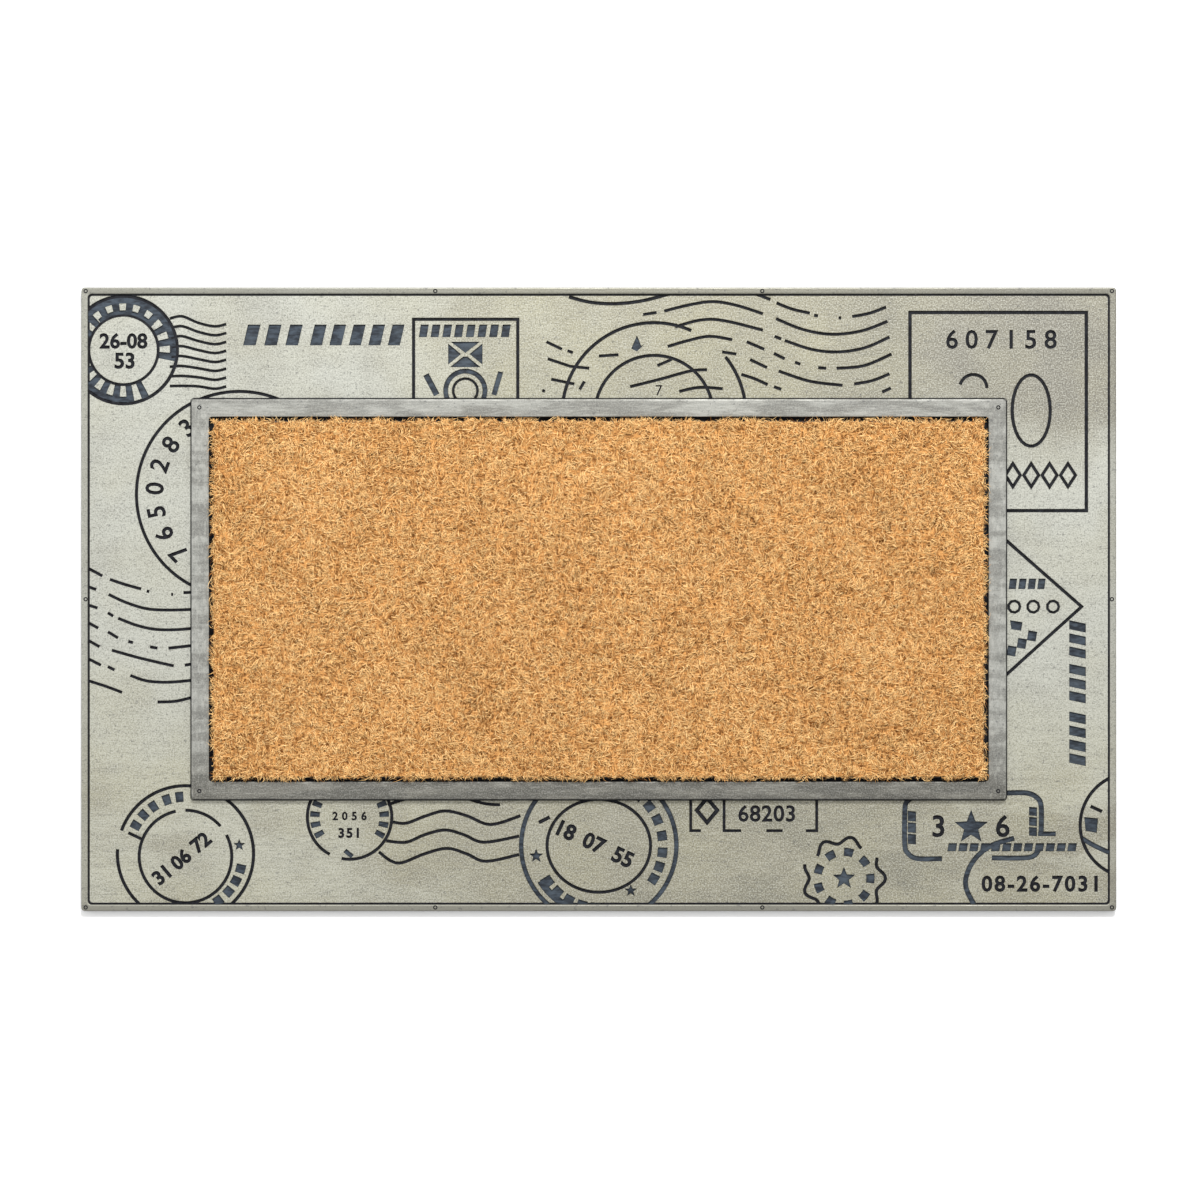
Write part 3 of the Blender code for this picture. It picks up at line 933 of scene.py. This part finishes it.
COIR_SHADES = (
    # the first, darkest shade is partly painted shade: those strands lie lowest and stand for the dark
    # gaps between strands
    (0.074, 0.023, 0.004), (0.304, 0.126, 0.029), (0.583, 0.285, 0.095), (0.640, 0.350, 0.122),
    (0.745, 0.443, 0.170), (0.813, 0.515, 0.215), (0.871, 0.578, 0.255), (0.929, 0.640, 0.300),
)
SHADE_SHARE = (0.10, 0.10, 0.08, 0.13, 0.18, 0.18, 0.14, 0.09)
PALE_GREEN = 0.66
PALENESS = np.array([colour[1] / PALE_GREEN for colour in COIR_SHADES])


def coir(index, colour):
    m = Nodes(f"coir_shade_{index + 1}")
    return m.finish(Base_Color=(*colour, 1), Roughness=0.62, Specular_IOR_Level=0.08)


def one_strand():
    """A three-sided strand, one unit tall and one unit in radius, with a joint and a pointed tip."""
    shape = bmesh.new()
    bmesh.ops.create_cone(shape, cap_ends=True, segments=3, radius1=1.0, radius2=0.0, depth=1.0)
    bmesh.ops.remove_doubles(shape, verts=shape.verts, dist=0.001)
    bmesh.ops.translate(shape, vec=(0, 0, 0.5), verts=shape.verts)
    whole = list(shape.verts) + list(shape.edges) + list(shape.faces)
    bmesh.ops.bisect_plane(shape, geom=whole, plane_co=(0, 0, 0.5), plane_no=(0, 0, 1))
    bmesh.ops.recalc_face_normals(shape, faces=shape.faces)
    middle = [v for v in shape.verts if abs(v.co.z - 0.5) < 0.01]
    bmesh.ops.transform(shape, matrix=Matrix.Diagonal((BELLY, BELLY, 1, 1)), verts=middle)
    return shape


def drift(spots, size, layer):
    """Slow change over the pile, from about -1 to 1, in blotches of the given size."""
    return np.array([noise.noise(Vector((x / size, y / size, layer))) for x, y in spots]) * 1.6


def unit(rows):
    """Each row made one long."""
    return rows / np.linalg.norm(rows, axis=1, keepdims=True)


def plant(root, low, high, pick, paleness):
    """Roots, elbows and tips of one patch of strands; the paler a strand, the higher it lies."""
    at_edge = pick.random(STRANDS_EACH) < EDGE_SHARE
    side = pick.random(STRANDS_EACH)
    band = pick.uniform(0, EDGE_BAND, STRANDS_EACH)

    # some strands stand along the insert's outer edges, shared out by the length of each edge
    outer = np.where(np.abs(low) > np.abs(high), low, high)
    along = (high[0] - low[0]) / (high[0] - low[0] + high[1] - low[1])
    has_end = abs(outer[0]) > pile_high.x - BED_INSET * 2
    long_side = at_edge & ((side < along) | (not has_end))
    short_side = at_edge & ~long_side
    root[long_side, 1] = (outer[1] - np.sign(outer[1]) * band)[long_side]
    root[short_side, 0] = (outer[0] - np.sign(outer[0]) * band)[short_side]

    # neighbours lean roughly the same way, and those at the edges stand straighter
    heading = SWIRL * drift(root, SWIRL_SIZE, 3.1) + pick.normal(0, STRAY_HEADING, STRANDS_EACH)
    lean = pick.gamma(LEAN_SHAPE, LEAN_SCALE, STRANDS_EACH) + LEAST_LEAN
    lean[at_edge] *= LEAN_AT_EDGE
    away = np.stack([np.cos(heading), np.sin(heading)], axis=1)
    top = pile_high.z - TIP_DROP + pick.normal(0, TIP_SPREAD, STRANDS_EACH)
    top += TIP_DRIFT * drift(root, 24 * MM, 7.7) - lean * SAG
    top += LIFT_OF_PALE * (paleness - MIDDLING_PALENESS)
    foot = np.where(at_edge, pick.uniform(pile_low.z, BED_TOP, STRANDS_EACH),
                    BED_TOP - pick.uniform(*ROOT_DEPTH, STRANDS_EACH))
    roots = np.column_stack([root, foot])
    tips = np.column_stack([root + away * lean[:, None], top])

    # the elbow is halfway, pushed aside, back and up
    bow = np.column_stack([-away[:, 1], away[:, 0]]) * pick.normal(0, BOW, STRANDS_EACH)[:, None]
    elbows = (roots + tips) / 2
    elbows[:, :2] += bow * lean[:, None] - away * (lean * SAG)[:, None]
    elbows[:, 2] += pick.uniform(0.0, ELBOW_RISE, STRANDS_EACH) * lean
    return roots, elbows, tips


def keep_in_pocket(points, spill):
    """Draws points in from the pocket's walls, unless they are high enough to lie over the frame."""
    reach = np.array([POCKET_LENGTH / 2, POCKET_WIDTH / 2]) - WALL_CLEARANCE
    slack = np.where(points[:, 2] > CLEAR_OF_FRAME, spill, 0.0)[:, None]
    points[:, :2] = np.clip(points[:, :2], -reach - slack, reach + slack)


def shade_of(spots, pick):
    """Which shade each strand is: the shares hold over the mat, and like shades drift together."""
    luck = pick.random(len(spots)) + 0.05 * drift(spots, 16 * MM, 12.0)
    luck += 0.08 * drift(spots, 60 * MM, 19.0)
    return np.clip(np.searchsorted(np.cumsum(SHADE_SHARE), luck), 0, len(SHADE_SHARE) - 1)


def set_out(name, roots, elbows, tips, radii, shades):
    """One mesh from many copies of the strand, bent from root to elbow to tip."""
    strand = one_strand()
    pattern = np.array([v.co[:] for v in strand.verts])
    faces = [[v.index for v in f.verts] for f in strand.faces]
    strand.free()
    line = unit(tips - roots)
    any_way = (0.31, 0.17, 0.93)
    across = unit(np.cross(line, any_way))
    up = np.cross(line, across)
    level = pattern[:, 2]
    spine = (roots[:, None] * np.clip(1 - 2 * level, 0, 1)[None, :, None]
             + elbows[:, None] * (1 - np.abs(2 * level - 1))[None, :, None]
             + tips[:, None] * np.clip(2 * level - 1, 0, 1)[None, :, None])
    section = across[:, None] * pattern[None, :, 0, None] + up[:, None] * pattern[None, :, 1, None]
    points = spine + section * radii[:, None, None]
    per = len(pattern)
    count = len(roots)
    copies = np.arange(count)[:, None]
    loops = np.concatenate([np.array(f) for f in faces])
    sizes = np.array([len(f) for f in faces])
    mesh = bpy.data.meshes.new(name)
    mesh.vertices.add(count * per)
    mesh.vertices.foreach_set("co", points.astype(np.float32).ravel())
    mesh.loops.add(count * len(loops))
    mesh.loops.foreach_set("vertex_index", (loops[None] + per * copies).ravel())
    mesh.polygons.add(count * len(sizes))
    starts = np.concatenate([[0], np.cumsum(sizes)[:-1]])
    mesh.polygons.foreach_set("loop_start", (starts[None] + len(loops) * copies).ravel())
    mesh.polygons.foreach_set("material_index", np.repeat(shades, len(sizes)).astype(np.int32))
    mesh.update(calc_edges=True)
    mesh.validate()
    mesh.shade_smooth()
    piece = bpy.data.objects.new(name, mesh)
    bpy.context.scene.collection.objects.link(piece)
    return piece


shades_of_coir = [coir(i, colour) for i, colour in enumerate(COIR_SHADES)]
low_corner = np.array([pile_low.x, pile_low.y]) + PATCH_MARGIN
high_corner = np.array([pile_high.x, pile_high.y]) - PATCH_MARGIN
patch_size = (high_corner - low_corner) / (PATCHES_ALONG, PATCHES_ACROSS)
for column in range(PATCHES_ALONG):
    for row in range(PATCHES_ACROSS):
        start = low_corner + patch_size * (column, row)
        patch = column * PATCHES_ACROSS + row
        pick = np.random.default_rng(FIRST_SEED + patch)
        root = pick.uniform(start, start + patch_size, (STRANDS_EACH, 2))
        shades = shade_of(root, pick)
        roots, elbows, tips = plant(root, start, start + patch_size, pick, PALENESS[shades])
        keep_in_pocket(roots, 0.0)
        keep_in_pocket(elbows, 0.0)
        keep_in_pocket(tips, np.where(pick.random(STRANDS_EACH) < SPILL_SHARE, SPILL, 0.0))
        radii = STRAND_RADIUS * pick.uniform(*RADIUS_RANGE, STRANDS_EACH)
        strands = set_out(f"coir_strands_{patch + 1}", roots, elbows, tips, radii, shades)
        for shade in shades_of_coir:
            strands.data.materials.append(shade)
        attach(strands, "coir_insert")
        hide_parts("coir_pile")


# ---------------------------------------------------------------------------------------------
# Studio. A white floor in even light from all round, a key light high on the +Y side, a weak one
# on the -X side, and a camera straight over the mat.
# ---------------------------------------------------------------------------------------------
FLOOR_REACH = 6.0
DAYLIGHT = 0.90
CAMERA_HEIGHT = 2.6
CAMERA_X, CAMERA_Y = 0.88 * MM, -0.55 * MM
VIEW_WIDTH = 0.8807
SENSOR_WIDTH = 36.0
floor_shape = bmesh.new()
bmesh.ops.create_grid(floor_shape, x_segments=1, y_segments=1, size=FLOOR_REACH)
floor_mesh = bpy.data.meshes.new("studio_floor")
floor_shape.to_mesh(floor_mesh)
floor_shape.free()
floor = bpy.data.objects.new("studio_floor", floor_mesh)
bpy.context.scene.collection.objects.link(floor)
paper = Nodes("white_paper")
floor.data.materials.append(paper.finish(Base_Color=(0.86, 0.86, 0.855, 1), Roughness=0.9,
                                         Specular_IOR_Level=0.1))


def softbox(name, place, size, watts):
    """A rectangular lamp, turned to the middle of the mat."""
    lamp = bpy.data.lights.new(name, "AREA")
    lamp.shape = "RECTANGLE"
    lamp.size = size[0]
    lamp.size_y = size[1]
    lamp.energy = watts
    holder = bpy.data.objects.new(name, lamp)
    holder.location = place
    holder.rotation_euler = (-Vector(place)).to_track_quat("-Z", "Y").to_euler()
    bpy.context.scene.collection.objects.link(holder)


softbox("key_light", place=(0.25, 1.7, 1.9), size=(0.9, 0.6), watts=95)
softbox("left_light", place=(-2.0, 0.2, 1.6), size=(1.4, 1.8), watts=12.5)

world = bpy.data.worlds.new("studio_air")
world.use_nodes = True
air = world.node_tree.nodes["Background"].inputs
air["Color"].default_value = (1, 1, 1, 1)
air["Strength"].default_value = DAYLIGHT
bpy.context.scene.world = world
bpy.context.scene.view_settings.view_transform = "Standard"

eye = bpy.data.cameras.new("camera")
eye.sensor_width = SENSOR_WIDTH
eye.lens = SENSOR_WIDTH * CAMERA_HEIGHT / VIEW_WIDTH
camera = bpy.data.objects.new("camera", eye)
camera.location = (CAMERA_X, CAMERA_Y, RIM_TOP + CAMERA_HEIGHT)
bpy.context.scene.collection.objects.link(camera)
bpy.context.scene.camera = camera
